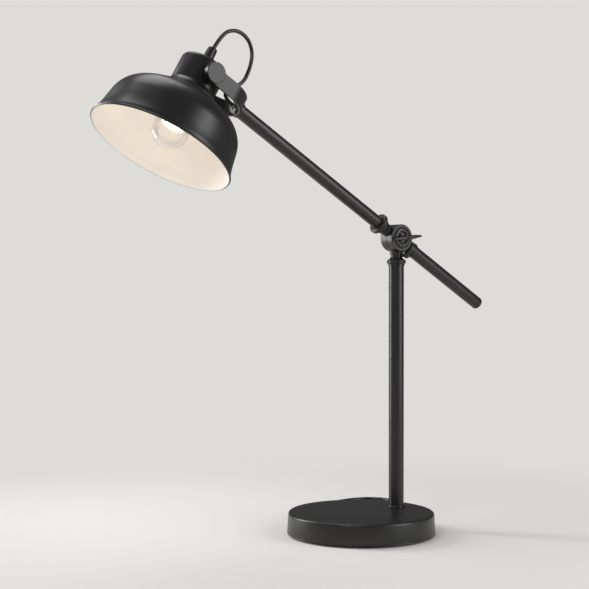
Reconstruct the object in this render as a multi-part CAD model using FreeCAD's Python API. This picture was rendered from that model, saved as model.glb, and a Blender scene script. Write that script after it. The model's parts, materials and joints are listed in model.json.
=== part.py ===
"""A counterweight balance desk lamp, in millimetres.

Origin: the middle of the base on the surface that it stands on. +Z is up, and the head points to -X.
The arm lies in the XZ plane, and the clamp handle faces -Y.
"""

import FreeCAD, Part
import math
import os

from FreeCAD import Placement, Rotation, Vector

os.makedirs("parts", exist_ok=True)

# Running fits and gaps
RUNNING = 0.08  # radial play of a part that turns on another
LOOSE = 0.3  # play of a wire or a plain insert in its hole
STEEL_GAP = 0.4  # a plain gap between two covers

# Base
BASE_DIAMETER = 180.0  # across the top edge
BASE_FLARE = 1.5  # how far the skirt leans out at its foot
BASE_HEIGHT = 28.0
BASE_EDGE = 3.0  # round on the top edge
BASE_WALL = 1.6
FOOT_GAP = 2.0  # the skirt stands this far off the table
PLATE_THICKNESS = 1.5
PAD_INSET = 6.0
WEIGHT_THICKNESS = 12.5
WEIGHT_GAP = 3.0  # between the weight and the skirt
SCREW_COUNT = 3
SCREW_CIRCLE = 62.0
SCREW_RADIUS = 2.0
SCREW_HEAD_RADIUS = 4.0
SCREW_HEAD = 1.2
SCREW_LENGTH = 8.0

# Pole
POLE_INSET = 33.0  # the pole's axis from the base's top edge
POLE_DIAMETER = 19.0
POLE_WALL = 1.5
POLE_TOP_BELOW_HUB = 32.5
FOOT_RING_RADIUS = 11.5
FOOT_RING_HEIGHT = 2.4
STUD_RADIUS = 6.0
STUD_GRIP = 28.0
NUT_ACROSS_FLATS = 19.0
NUT_THICKNESS = 6.0
WASHER_RADIUS = 13.0
WASHER_THICKNESS = 1.6
POCKET_RADIUS = 17.0
WIRE_RADIUS = 2.3

# Knuckle: two half-lap castings that meet face to face
HUB_HEIGHT = 367.0
DISC_RADIUS = 17.0
DISC_THICKNESS = 10.9
DISC_EDGE = 1.0
FRICTION_THICKNESS = 0.8
LAP_GAP = 0.9  # round each disc, where the other casting is cut away
NECK_WAIST = 7.4
NECK_FOOT = 9.4
NECK_FLARE = 4.6
NECK_BEAD_RADIUS = 8.4
NECK_BEAD_DROP = 19.0  # the bead's middle below the hub
NECK_BEAD_HEIGHT = 3.4
FLANGE_RADIUS = 12.0
FLANGE_THICKNESS = 3.2
POST_RADIUS = 4.2
POST_LENGTH = 12.0
POST_GRIP = 22.0
SEAT_RING_RADIUS = 13.4
SEAT_RING_BORE = 8.2
SEAT_RING_HEIGHT = 2.2
BOLT_RADIUS = 3.0
BOLT_BALL_RADIUS = 4.2
BOLT_STAND = 11.0  # the ball's middle in front of the disc
BOLT_SHOULDER_RADIUS = 5.0
HANDLE_LENGTH = 46.0
HANDLE_ROOT_RADIUS = 2.6
HANDLE_TIP_RADIUS = 1.4
HANDLE_ANGLE = -6.5
LOCK_SCREW_RADIUS = 2.0
LOCK_BALL_RADIUS = 3.8
LOCK_BALL_REACH = 14.8  # the ball's middle from the pole's axis
LOCK_DROP = 22.0  # the screw's axis below the hub
LOCK_TURN = -70.0

# Arm
ARM_ELEVATION = 30.8
ARM_LENGTH = 342.0  # hub to the shade's pivot
ARM_DIAMETER = 16.0
ARM_WALL = 1.3
SOCKET_NECK = 7.35
SOCKET_MOUTH = 36.0
SOCKET_RING_RADIUS = 12.8
SOCKET_RING_WIDTH = 5.0
SOCKET_DEPTH = 9.5
SOCKET_WALL = 1.3  # round the end of each tube
REAR_NECK = 7.4
NECK_REACH = 1.6  # plain neck between a disc's edge and its socket's flare
REAR_MOUTH = 30.0
REAR_DEPTH = 9.0
REAR_LIP = 0.5  # how far the rear mouth's lip stands out
REAR_LIP_WIDTH = 1.6
REAR_LENGTH = 165.5  # hub to the end of the rear plug
REAR_PLUG_HEAD = 5.0
REAR_PLUG_EDGE = 3.0
REAR_PLUG_SPIGOT = 12.0
SLUG_GAP = 12.0  # from the slug to the end of its tube at the hub

# Yoke
YOKE_WIDTH = 18.5
YOKE_THICKNESS = 3.0
YOKE_INNER = 30.0  # half the clear width between its sides
YOKE_REACH = 63.3  # pivot to the outside of its closed end
END_COLLAR_RADIUS = 9.4
END_COLLAR_WIDTH = 2.5
NIPPLE_RADIUS = 5.0
NIPPLE_BORE = 2.7
NIPPLE_GRIP = 16.0
NIPPLE_PROUD = 2.0
NIPPLE_NUT_FLATS = 14.0
NIPPLE_NUT = 4.0
PIVOT_DISC_RADIUS = 12.0
PIVOT_DISC_THICKNESS = 6.5
PIVOT_PIN_RADIUS = 3.0
PIVOT_PIN_GRIP = 5.0
SPACER_RADIUS = 7.0

# Shade and neck, measured along the shade's axis from the pivot
SHADE_TILT = 30.5
SHADE_RADIUS = 85.0
SHADE_DROP = 96.0  # pivot to rim
SHADE_WALL = 1.0
SHADE_SKIRT = 11.5
SHADE_SKIRT_LEAN = 3.7
SHADE_SKIRT_ROUND = 100.0
SHADE_SHOULDER_RADIUS = 75.0
SHADE_SHOULDER_DROP = 46.8
SHADE_SHOULDER_ROUND = 36.0
SHADE_BEAD = 1.3
NECK_CUP_RADIUS = 27.0
NECK_CUP_TOP = 18.0
NECK_CUP_FOOT = 20.3  # below the pivot
NECK_CUP_EDGE = 5.0
NECK_CUP_WALL = 1.5
NECK_RING_RADIUS = 36.5
NECK_RING_HEIGHT = 4.5
NECK_RING_LIP = 0.7
HOLDER_RADIUS = 14.0
HOLDER_BORE = 7.3
HOLDER_MOUTH = 34.0
HOLDER_TOP = 4.0
HOLDER_CAP_RADIUS = 12.5
SHADE_RING_RADIUS = 21.0
SHADE_RING_HEIGHT = 6.0
GLAND_RADIUS = 6.5
GLAND_HEIGHT = 22.0
BULB_RADIUS = 22.5
BULB_CENTRE = 70.0
BULB_CAP_RADIUS = 7.0
BULB_CAP_LENGTH = 25.0
FILAMENT_RADIUS = 8.0
FILAMENT_WIRE = 0.6
BULB_LENGTH = 77.0
BULB_GLASS = 1.0

# Mains lead
CORD_RADIUS = 2.7
CORD_EXIT_ANGLE = 30.0
CORD_EXIT_HEIGHT = 8.6
CORD_REST = CORD_RADIUS + 0.1  # the cord's axis where it lies on the table
LOOP_RADIUS = 2.3  # the thinner flex at the head
RELIEF_LENGTH = 26.0
RELIEF_ROOT_RADIUS = 4.9
RELIEF_TIP_RADIUS = 3.6
RELIEF_HEAD_RADIUS = 5.0
RELIEF_HEAD = 3.0
RELIEF_SEAT = 2.6
COIL_CENTRE = Vector(89.8, 109.1, 0.0)
COIL_OUTER = 41.0
COIL_PITCH = 5.9
COIL_LAYER = 5.9
COIL_START_ANGLE = 143.9
COIL_TURNS_IN = 3.125
COIL_TURNS_OUT = 3.125
PLUG_LENGTH = 36.0
PLUG_WIDTH = 35.0
PLUG_HEIGHT = 13.6
PLUG_NOSE_WIDTH = 26.0
PIN_RADIUS = 2.0
PIN_LENGTH = 19.0
PIN_SPACING = 18.6

UP = Vector(0, 0, 1)
POLE_X = BASE_DIAMETER / 2 - POLE_INSET
POLE_BORE = POLE_DIAMETER / 2 - POLE_WALL
POLE_TOP = HUB_HEIGHT - POLE_TOP_BELOW_HUB
HUB = Vector(POLE_X, 0, HUB_HEIGHT)
ARM_BORE = ARM_DIAMETER / 2 - ARM_WALL
LAP = FRICTION_THICKNESS / 2
DISC_FACE = LAP + DISC_THICKNESS
ARM_TURN = Rotation(Vector(0, 1, 0), ARM_ELEVATION)
SHADE_TURN = Rotation(Vector(0, 1, 0), SHADE_TILT)
PIVOT = HUB + ARM_TURN.multVec(Vector(-ARM_LENGTH, 0, 0))


def wire_of(points):
    """A closed wire through (x, y) points; a pair of points is an arc's middle and end."""
    edges = []
    last = Vector(*points[0], 0)
    for point in points[1:] + [points[0]]:
        if isinstance(point[0], tuple):
            middle, end = Vector(*point[0], 0), Vector(*point[1], 0)
            edges.append(Part.Arc(last, middle, end).toShape())
        else:
            end = Vector(*point, 0)
            if end.distanceToPoint(last) > 1e-7:
                edges.append(Part.makeLine(last, end))
        last = end
    return Part.Wire(edges)


def turned(points):
    """A solid turned round Z from (radius, height) points."""
    face = Part.Face(wire_of(points))
    face.rotate(Vector(), Vector(1, 0, 0), 90)
    return face.revolve(Vector(), UP, 360)


def extruded(points, thickness):
    """A plate in the XY plane, from Z = 0 up."""
    return Part.Face(wire_of(points)).extrude(Vector(0, 0, thickness))


def tube(outer, inner, low, high):
    return turned([(inner, low), (outer, low), (outer, high), (inner, high)])


def rod(radius, low, high):
    return Part.makeCylinder(radius, high - low, Vector(0, 0, low))


def aimed(shape, direction, at=Vector()):
    """The shape with its Z axis turned to a direction and its origin moved to a point."""
    copy = shape.copy()
    copy.Placement = Placement(at, Rotation(UP, direction)).multiply(copy.Placement)
    return copy


def hexagon(across_flats, low, high):
    corner = across_flats / math.sqrt(3)
    points = [
        (corner * math.cos(math.radians(60 * i)), corner * math.sin(math.radians(60 * i)))
        for i in range(6)
    ]
    nut = extruded(points, high - low)
    nut.translate(Vector(0, 0, low))
    return nut


def on_arm(shape):
    """From the arm's own frame, with the hub at the origin and the head along -X."""
    copy = shape.copy()
    copy.Placement = Placement(HUB, ARM_TURN).multiply(copy.Placement)
    return copy


def on_shade(shape):
    """From the shade's own frame, with the pivot at the origin and the neck along +Z."""
    copy = shape.copy()
    copy.Placement = Placement(PIVOT, SHADE_TURN).multiply(copy.Placement)
    return copy


def on_pole(shape):
    copy = shape.copy()
    copy.translate(Vector(POLE_X, 0, 0))
    return copy


def export(name, shape):
    shape.exportStep(f"parts/{name}.step")


# ---- Base ----

def base_outline(inset, foot, top):
    """Half the section of the base's cover, inset from its outside."""
    edge_radius = BASE_DIAMETER / 2 - inset
    edge = BASE_EDGE - inset / 2
    return [
        (0, foot),
        (edge_radius + BASE_FLARE, foot),
        (edge_radius, top - edge),
        ((edge_radius - edge * (1 - math.sqrt(0.5)), top - edge * (1 - math.sqrt(0.5))),
         (edge_radius - edge, top)),
        (0, top),
    ]


def exit_frame(shape):
    """From a frame with +Z out of the base at the cord's exit and its origin on the skirt."""
    turn = Rotation(UP, CORD_EXIT_ANGLE).multiply(Rotation(Vector(0, 1, 0), 90))
    out = Rotation(UP, CORD_EXIT_ANGLE).multVec(Vector(BASE_DIAMETER / 2 + BASE_FLARE, 0, 0))
    copy = shape.copy()
    copy.Placement = Placement(out + UP * CORD_EXIT_HEIGHT, turn).multiply(copy.Placement)
    return copy


def screw_spots():
    return [
        Rotation(UP, 60 + 360 * i / SCREW_COUNT).multVec(Vector(SCREW_CIRCLE, 0, 0))
        for i in range(SCREW_COUNT)
    ]


WEIGHT_TOP = BASE_HEIGHT - BASE_WALL
WEIGHT_FOOT = WEIGHT_TOP - WEIGHT_THICKNESS
WEIGHT_RADIUS = BASE_DIAMETER / 2 - BASE_WALL - WEIGHT_GAP
PLATE_TOP = FOOT_GAP + PLATE_THICKNESS
PLATE_RADIUS = BASE_DIAMETER / 2 + BASE_FLARE - BASE_WALL - STEEL_GAP
PILLAR_RADIUS = 2 * SCREW_RADIUS + 1.0

base_shell = turned(base_outline(0, FOOT_GAP, BASE_HEIGHT))
base_shell = base_shell.cut(turned(base_outline(BASE_WALL, FOOT_GAP - 1, WEIGHT_TOP)))
base_shell = base_shell.cut(on_pole(rod(STUD_RADIUS + LOOSE, 0, BASE_HEIGHT + 1)))
relief_hole = RELIEF_ROOT_RADIUS - 1.0
base_shell = base_shell.cut(exit_frame(rod(relief_hole, -8, 4)))
export("base_shell", base_shell)

base_weight = rod(WEIGHT_RADIUS, WEIGHT_FOOT, WEIGHT_TOP)
base_weight = base_weight.cut(on_pole(rod(POCKET_RADIUS, 0, BASE_HEIGHT)))
for spot in screw_spots():
    pillar = rod(PILLAR_RADIUS, PLATE_TOP, WEIGHT_FOOT)
    pillar.translate(spot)
    base_weight = base_weight.fuse(pillar)
    hole = rod(SCREW_RADIUS, 0, PLATE_TOP - PLATE_THICKNESS + SCREW_LENGTH)
    hole.translate(spot)
    base_weight = base_weight.cut(hole)
export("base_weight", base_weight.removeSplitter())

pad_outer = PLATE_RADIUS - PAD_INSET
base_plate = rod(PLATE_RADIUS, FOOT_GAP, PLATE_TOP)
base_pad = rod(pad_outer, 0, FOOT_GAP)
screws = []
for spot in screw_spots():
    hole = rod(SCREW_RADIUS + LOOSE, 0, PLATE_TOP + 1)
    hole.translate(spot)
    base_plate = base_plate.cut(hole)
    head_room = rod(SCREW_HEAD_RADIUS + 1, 0, FOOT_GAP)
    head_room.translate(spot)
    base_pad = base_pad.cut(head_room)
    shank = rod(SCREW_RADIUS, FOOT_GAP, FOOT_GAP + SCREW_LENGTH)
    head = rod(SCREW_HEAD_RADIUS, FOOT_GAP - SCREW_HEAD, FOOT_GAP)
    head = head.makeFillet(SCREW_HEAD / 2, [head.Edges[2]])
    screw = shank.fuse(head)
    screw.translate(spot)
    screws.append(screw)
export("base_plate", base_plate)
export("base_screws", Part.makeCompound(screws))
export("base_pad", base_pad)


# ---- Pole ----

POLE_FOOT = BASE_HEIGHT
pole = tube(POLE_DIAMETER / 2, POLE_BORE, POLE_FOOT, POLE_TOP)
export("pole", on_pole(pole))

ring_edge = FOOT_RING_HEIGHT / 2
export("pole_foot_ring", on_pole(turned([
    (POLE_DIAMETER / 2, POLE_FOOT),
    (FOOT_RING_RADIUS, POLE_FOOT),
    (FOOT_RING_RADIUS, POLE_FOOT + ring_edge),
    ((FOOT_RING_RADIUS - ring_edge * (1 - math.sqrt(0.5)), POLE_FOOT + ring_edge * (1 + math.sqrt(0.5))),
     (FOOT_RING_RADIUS - ring_edge, POLE_FOOT + FOOT_RING_HEIGHT)),
    (POLE_DIAMETER / 2, POLE_FOOT + FOOT_RING_HEIGHT),
])))

washer_foot = WEIGHT_TOP - WASHER_THICKNESS
nut_foot = washer_foot - NUT_THICKNESS
WIRE_BORE = WIRE_RADIUS + LOOSE
stud = tube(STUD_RADIUS, WIRE_BORE, nut_foot - 1, POLE_FOOT)
stud = stud.fuse(tube(POLE_BORE, WIRE_BORE, POLE_FOOT, POLE_FOOT + STUD_GRIP))
export("pole_stud", on_pole(stud.removeSplitter()))
export("pole_washer", on_pole(tube(WASHER_RADIUS, STUD_RADIUS + LOOSE, washer_foot, WEIGHT_TOP)))
pole_nut = hexagon(NUT_ACROSS_FLATS, nut_foot, washer_foot).cut(rod(STUD_RADIUS, 0, BASE_HEIGHT))
export("pole_nut", on_pole(pole_nut))

post_top = POLE_TOP + POST_LENGTH
post = tube(POLE_BORE, WIRE_BORE, POLE_TOP - POST_GRIP, POLE_TOP)
post = post.fuse(tube(POST_RADIUS, WIRE_BORE, POLE_TOP, post_top))
export("swivel_post", on_pole(post.removeSplitter()))
export("pole_wire", on_pole(rod(WIRE_RADIUS, WEIGHT_FOOT, POLE_TOP)))


# ---- Knuckle ----

def facing_front(shape):
    """From a frame with +Z towards -Y and its origin at the hub."""
    return aimed(shape, Vector(0, -1, 0), HUB)


def half_lap_disc(near, far):
    """A disc between two distances in front of the hub's middle plane."""
    return facing_front(rod(DISC_RADIUS, near, far))


def neck_section():
    """The turned neck below the hub: flange, flare, waist and bead."""
    top = HUB_HEIGHT - DISC_RADIUS * 0.75
    flange_top = POLE_TOP + FLANGE_THICKNESS
    edge = FLANGE_THICKNESS / 2
    waist = flange_top + NECK_FLARE
    flare_middle = (NECK_WAIST + (NECK_FOOT - NECK_WAIST) * 0.3, flange_top + NECK_FLARE * 0.35)
    bead = HUB_HEIGHT - NECK_BEAD_DROP
    return turned([
        (0, POLE_TOP),
        (FLANGE_RADIUS - edge, POLE_TOP),
        ((FLANGE_RADIUS, POLE_TOP + edge), (FLANGE_RADIUS - edge, flange_top)),
        (NECK_FOOT, flange_top),
        (flare_middle, (NECK_WAIST, waist)),
        (NECK_WAIST, bead - NECK_BEAD_HEIGHT / 2),
        ((NECK_BEAD_RADIUS, bead), (NECK_WAIST, bead + NECK_BEAD_HEIGHT / 2)),
        (NECK_WAIST, top),
        (0, top),
    ])


LOCK_HEIGHT = HUB_HEIGHT - LOCK_DROP
lock_turn = Rotation(UP, LOCK_TURN)
LOCK_AIM = lock_turn.multVec(Vector(1, 0, 0))
LOCK_POINT = Vector(POLE_X, 0, LOCK_HEIGHT)
neck = on_pole(neck_section())
rear_room = facing_front(rod(DISC_RADIUS + LAP_GAP, -DISC_FACE - 5, LAP))
knuckle = neck.cut(rear_room)
knuckle = knuckle.fuse(half_lap_disc(LAP, DISC_FACE))
knuckle = knuckle.removeSplitter()
front_rim = [
    edge for edge in knuckle.Edges
    if abs(edge.BoundBox.YMin + DISC_FACE) < 0.01 and abs(edge.BoundBox.YMax + DISC_FACE) < 0.01
]
knuckle = knuckle.makeFillet(DISC_EDGE, front_rim)
knuckle = knuckle.cut(facing_front(rod(BOLT_RADIUS + RUNNING, 0, DISC_FACE + 1)))
post_room = rod(POST_RADIUS + RUNNING, POLE_TOP - 1, post_top + STEEL_GAP)
knuckle = knuckle.cut(on_pole(post_room))
knuckle = knuckle.cut(aimed(rod(LOCK_SCREW_RADIUS + RUNNING, 0, 20), LOCK_AIM, LOCK_POINT))
export("knuckle_neck", knuckle)

seat_mid = (SEAT_RING_RADIUS + SEAT_RING_BORE) / 2
seat_ring = turned([
    (SEAT_RING_BORE, DISC_FACE),
    (SEAT_RING_RADIUS, DISC_FACE),
    (SEAT_RING_RADIUS, DISC_FACE + SEAT_RING_HEIGHT * 0.35),
    ((seat_mid + 1.2, DISC_FACE + SEAT_RING_HEIGHT * 0.92), (seat_mid, DISC_FACE + SEAT_RING_HEIGHT)),
    (SEAT_RING_BORE, DISC_FACE + SEAT_RING_HEIGHT),
])
export("clamp_seat_ring", facing_front(seat_ring))
export("friction_washer", facing_front(tube(DISC_RADIUS - 1, BOLT_RADIUS + RUNNING, -LAP, LAP)))

nut_flats = 4 * BOLT_RADIUS - 1.0
nut_depth = BOLT_RADIUS * 1.7
bolt_end = DISC_FACE - nut_depth * 0.1
bolt = rod(BOLT_RADIUS, -bolt_end, DISC_FACE + 1)
bolt = bolt.fuse(rod(BOLT_SHOULDER_RADIUS, DISC_FACE, DISC_FACE + 2.5))
bolt = bolt.fuse(rod(BOLT_RADIUS, DISC_FACE, DISC_FACE + BOLT_STAND))
ball_at = DISC_FACE + BOLT_STAND
bolt = bolt.fuse(Part.makeSphere(BOLT_BALL_RADIUS, Vector(0, 0, ball_at)))
bolt = facing_front(bolt)
ball = HUB + Vector(0, -ball_at, 0)
handle_aim = Rotation(Vector(0, 1, 0), HANDLE_ANGLE).multVec(Vector(1, 0, 0))
half = HANDLE_LENGTH / 2
tip = HANDLE_TIP_RADIUS
handle = turned([
    (0, -half),
    ((tip * 0.8, -half + tip * 0.4), (tip, -half + tip)),
    (HANDLE_ROOT_RADIUS, -BOLT_BALL_RADIUS),
    (HANDLE_ROOT_RADIUS, BOLT_BALL_RADIUS),
    (tip, half - tip),
    ((tip * 0.8, half - tip * 0.4), (0, half)),
])
handle = aimed(handle, handle_aim, ball)
bolt = bolt.cut(handle)
export("clamp_bolt", bolt)
export("clamp_handle", handle)

lock_ball = Part.makeSphere(LOCK_BALL_RADIUS, Vector(0, 0, LOCK_BALL_REACH))
lock_screw = rod(LOCK_SCREW_RADIUS, POST_RADIUS + RUNNING, LOCK_BALL_REACH).fuse(lock_ball)
export("swivel_lock_screw", aimed(lock_screw.removeSplitter(), LOCK_AIM, LOCK_POINT))


# ---- Arm, in its own frame ----

def along_arm(shape):
    """From a frame with +Z along the arm, towards the head."""
    return on_arm(aimed(shape, Vector(-1, 0, 0)))


ring_low = SOCKET_MOUTH - SOCKET_RING_WIDTH
SOCKET_FLOOR = SOCKET_MOUTH - SOCKET_DEPTH
REAR_FLOOR = REAR_MOUTH - REAR_DEPTH
SOCKET_BARREL = ARM_DIAMETER / 2 + SOCKET_WALL
neck_start = DISC_RADIUS * 0.55
neck_end = DISC_RADIUS + NECK_REACH
front_flare = (neck_end + SOCKET_FLOOR) / 2
rear_flare = (neck_end + REAR_FLOOR) / 2
lip = REAR_MOUTH - REAR_LIP_WIDTH
sockets = turned([
    (0, neck_start),
    (SOCKET_NECK, neck_start),
    (SOCKET_NECK, neck_end),
    ((SOCKET_NECK + (SOCKET_BARREL - SOCKET_NECK) * 0.35, front_flare), (SOCKET_BARREL, SOCKET_FLOOR)),
    (SOCKET_BARREL + 0.9, ring_low),
    (SOCKET_RING_RADIUS - 0.8, ring_low),
    ((SOCKET_RING_RADIUS - 0.2, ring_low + 0.2), (SOCKET_RING_RADIUS, ring_low + 0.8)),
    (SOCKET_RING_RADIUS, SOCKET_MOUTH - 0.8),
    ((SOCKET_RING_RADIUS - 0.2, SOCKET_MOUTH - 0.2), (SOCKET_RING_RADIUS - 0.8, SOCKET_MOUTH)),
    (0, SOCKET_MOUTH),
])
rear_socket = turned([
    (0, -REAR_MOUTH),
    (SOCKET_BARREL + REAR_LIP, -REAR_MOUTH),
    (SOCKET_BARREL + REAR_LIP, -lip),
    (SOCKET_BARREL, -lip),
    (SOCKET_BARREL, -REAR_FLOOR),
    ((REAR_NECK + (SOCKET_BARREL - REAR_NECK) * 0.35, -rear_flare), (REAR_NECK, -neck_end)),
    (REAR_NECK, -neck_start),
    (0, -neck_start),
])
front_room = facing_front(rod(DISC_RADIUS + LAP_GAP, -LAP, DISC_FACE + 5))
hub = along_arm(sockets).fuse(along_arm(rear_socket)).cut(front_room)
hub = hub.fuse(half_lap_disc(-DISC_FACE, -LAP)).removeSplitter()
rear_rim = [
    edge for edge in hub.Edges
    if abs(edge.BoundBox.YMin - DISC_FACE) < 0.01 and abs(edge.BoundBox.YMax - DISC_FACE) < 0.01
]
hub = hub.makeFillet(DISC_EDGE, rear_rim)
hub = hub.cut(facing_front(rod(BOLT_RADIUS + RUNNING, -DISC_FACE - 1, 0)))
nut_hole = hexagon(nut_flats + LOOSE, -DISC_FACE - 1, -DISC_FACE + nut_depth)
hub = hub.cut(facing_front(nut_hole))
tube_hole = rod(ARM_DIAMETER / 2, SOCKET_FLOOR, SOCKET_MOUTH + 1)
hub = hub.cut(along_arm(tube_hole))
rear_hole = rod(ARM_DIAMETER / 2, -REAR_MOUTH - 1, -REAR_FLOOR)
hub = hub.cut(along_arm(rear_hole))
export("arm_hub", hub)

nut = hexagon(nut_flats, -DISC_FACE, -DISC_FACE + nut_depth)
nut = nut.cut(rod(BOLT_RADIUS + RUNNING, -DISC_FACE - 1, 0))
export("clamp_nut", facing_front(nut))

YOKE_OUTER = YOKE_INNER + YOKE_THICKNESS
ARM_END = ARM_LENGTH - YOKE_REACH
NIPPLE_FOOT = ARM_END - NIPPLE_GRIP
export("arm_tube_front", along_arm(tube(ARM_DIAMETER / 2, ARM_BORE, SOCKET_FLOOR, ARM_END)))
rear_tube_end = -REAR_LENGTH + REAR_PLUG_HEAD
export("arm_tube_rear", along_arm(tube(ARM_DIAMETER / 2, ARM_BORE, rear_tube_end, -REAR_FLOOR)))

plug_turn = math.sqrt(0.5)
arm_radius = ARM_DIAMETER / 2
rear_plug = turned([
    (0, -REAR_LENGTH),
    (arm_radius - REAR_PLUG_EDGE, -REAR_LENGTH),
    ((arm_radius - REAR_PLUG_EDGE * (1 - plug_turn), -REAR_LENGTH + REAR_PLUG_EDGE * (1 - plug_turn)),
     (arm_radius, -REAR_LENGTH + REAR_PLUG_EDGE)),
    (arm_radius, rear_tube_end),
    (ARM_BORE, rear_tube_end),
    (ARM_BORE, rear_tube_end + REAR_PLUG_SPIGOT),
    (0, rear_tube_end + REAR_PLUG_SPIGOT),
])
export("rear_plug", along_arm(rear_plug))
slug_end = rear_tube_end + REAR_PLUG_SPIGOT
slug_top = -REAR_FLOOR - SLUG_GAP
export("counterweight_slug", along_arm(rod(ARM_BORE - LOOSE / 3, slug_end, slug_top)))


# ---- Yoke ----

def yoke_outline():
    """The U in the plane of its two sides, open towards the head."""
    pivot_x = -ARM_LENGTH
    mouth = pivot_x - YOKE_WIDTH / 2
    bend = pivot_x + YOKE_REACH - YOKE_OUTER
    return [
        (mouth, -YOKE_OUTER),
        (bend, -YOKE_OUTER),
        ((bend + YOKE_OUTER, 0), (bend, YOKE_OUTER)),
        (mouth, YOKE_OUTER),
        (mouth, YOKE_INNER),
        (bend, YOKE_INNER),
        ((bend + YOKE_INNER, 0), (bend, -YOKE_INNER)),
        (mouth, -YOKE_INNER),
    ]


def across_arm(radius, at_x, half_length=YOKE_OUTER + 1):
    """A rod across the arm's plane."""
    return Part.makeCylinder(radius, 2 * half_length, Vector(at_x, -half_length, 0), Vector(0, 1, 0))


yoke = extruded(yoke_outline(), YOKE_WIDTH)
yoke.translate(Vector(0, 0, -YOKE_WIDTH / 2))
strap_corner = Vector(-ARM_LENGTH, -YOKE_OUTER, -YOKE_WIDTH / 2)
straps = Part.makeBox(YOKE_REACH, 2 * YOKE_OUTER, YOKE_WIDTH, strap_corner)
yoke = yoke.common(straps.fuse(across_arm(YOKE_WIDTH / 2, -ARM_LENGTH)))
yoke = yoke.cut(across_arm(PIVOT_PIN_RADIUS + RUNNING, -ARM_LENGTH))
nipple_way = aimed(rod(NIPPLE_RADIUS, ARM_END - 1, ARM_END + YOKE_OUTER), Vector(-1, 0, 0))
yoke = yoke.cut(nipple_way).removeSplitter()
export("yoke", on_arm(yoke))


def bend_round(radius):
    """The round of the yoke's closed end, as a solid, in the arm's own frame."""
    middle = Vector(-ARM_END - YOKE_OUTER, 0, -YOKE_WIDTH)
    return Part.makeCylinder(radius, 2 * YOKE_WIDTH, middle)


SADDLE_RADIUS = NIPPLE_NUT_FLATS / 2
saddle_rise = YOKE_INNER - math.sqrt(YOKE_INNER ** 2 - SADDLE_RADIUS ** 2)
SADDLE_TOP = ARM_END + YOKE_THICKNESS + saddle_rise + WASHER_THICKNESS / 2
saddle = aimed(tube(SADDLE_RADIUS, NIPPLE_RADIUS, ARM_END, SADDLE_TOP), Vector(-1, 0, 0))
export("nipple_saddle", on_arm(saddle.common(bend_round(YOKE_INNER))))
nipple_nut = hexagon(NIPPLE_NUT_FLATS, SADDLE_TOP, SADDLE_TOP + NIPPLE_NUT)
nipple_nut = nipple_nut.cut(rod(NIPPLE_RADIUS, 0, ARM_LENGTH))
export("nipple_nut", along_arm(nipple_nut))

NIPPLE_MOUTH = SADDLE_TOP + NIPPLE_NUT + NIPPLE_PROUD
nipple = tube(NIPPLE_RADIUS, NIPPLE_BORE, NIPPLE_FOOT, NIPPLE_MOUTH)
nipple = nipple.fuse(tube(ARM_BORE, NIPPLE_BORE, NIPPLE_FOOT, ARM_END - 1))
export("arm_end_nipple", along_arm(nipple.removeSplitter()))
collar = tube(END_COLLAR_RADIUS, ARM_DIAMETER / 2, ARM_END - END_COLLAR_WIDTH, ARM_END + YOKE_THICKNESS)
collar = aimed(collar, Vector(-1, 0, 0)).cut(bend_round(YOKE_OUTER))
export("arm_end_collar", on_arm(collar))
export("arm_wire", along_arm(rod(WIRE_RADIUS, SOCKET_FLOOR, NIPPLE_FOOT + 4)))


# ---- Shade, in its own frame ----

def rounded(points, radii):
    """The points of an outline, with a round of the given radius at each of them but the ends."""
    out = [points[0]]
    for before, at, after, radius in zip(points, points[1:], points[2:], radii):
        corner, start, end = (Vector(*p, 0) for p in (at, before, after))
        into = (start - corner).normalize()
        away = (end - corner).normalize()
        half_angle = into.getAngle(away) / 2
        reach = radius / math.tan(half_angle)
        dip = radius / math.sin(half_angle) - radius
        first = corner + into * reach
        last = corner + away * reach
        middle = corner + (into + away).normalize() * dip
        out.append((first.x, first.y))
        out.append(((middle.x, middle.y), (last.x, last.y)))
    out.append(points[-1])
    return out


def shade_profile(inset):
    """Rim to crown, moved inwards by the inset."""
    points = [
        (SHADE_RADIUS - inset, -SHADE_DROP),
        (SHADE_RADIUS - SHADE_SKIRT_LEAN - inset, -SHADE_DROP + SHADE_SKIRT),
        (SHADE_SHOULDER_RADIUS - inset, -SHADE_SHOULDER_DROP - inset),
        (NECK_CUP_RADIUS, -NECK_CUP_FOOT - inset),
    ]
    return rounded(points, [SHADE_SKIRT_ROUND, SHADE_SHOULDER_ROUND])


def backwards(outline):
    """The same outline from its end to its start."""
    out = []
    ends = [p[1] if isinstance(p[0], tuple) else p for p in outline]
    for i in range(len(outline) - 1, -1, -1):
        if i == len(outline) - 1:
            out.append(ends[i])
            continue
        later = outline[i + 1]
        out.append((later[0], ends[i]) if isinstance(later[0], tuple) else ends[i])
    return out


crown_hole = HOLDER_RADIUS + LOOSE
shade_inside = shade_profile(SHADE_WALL)
shade = turned(
    shade_profile(0)
    + [(crown_hole, -NECK_CUP_FOOT), (crown_hole, -NECK_CUP_FOOT - SHADE_WALL)]
    + backwards(shade_inside)
)
bead = Part.makeTorus(SHADE_RADIUS - SHADE_WALL / 2, SHADE_BEAD, Vector(0, 0, -SHADE_DROP), UP)
export("shade", on_shade(shade.fuse(bead).removeSplitter()))

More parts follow.
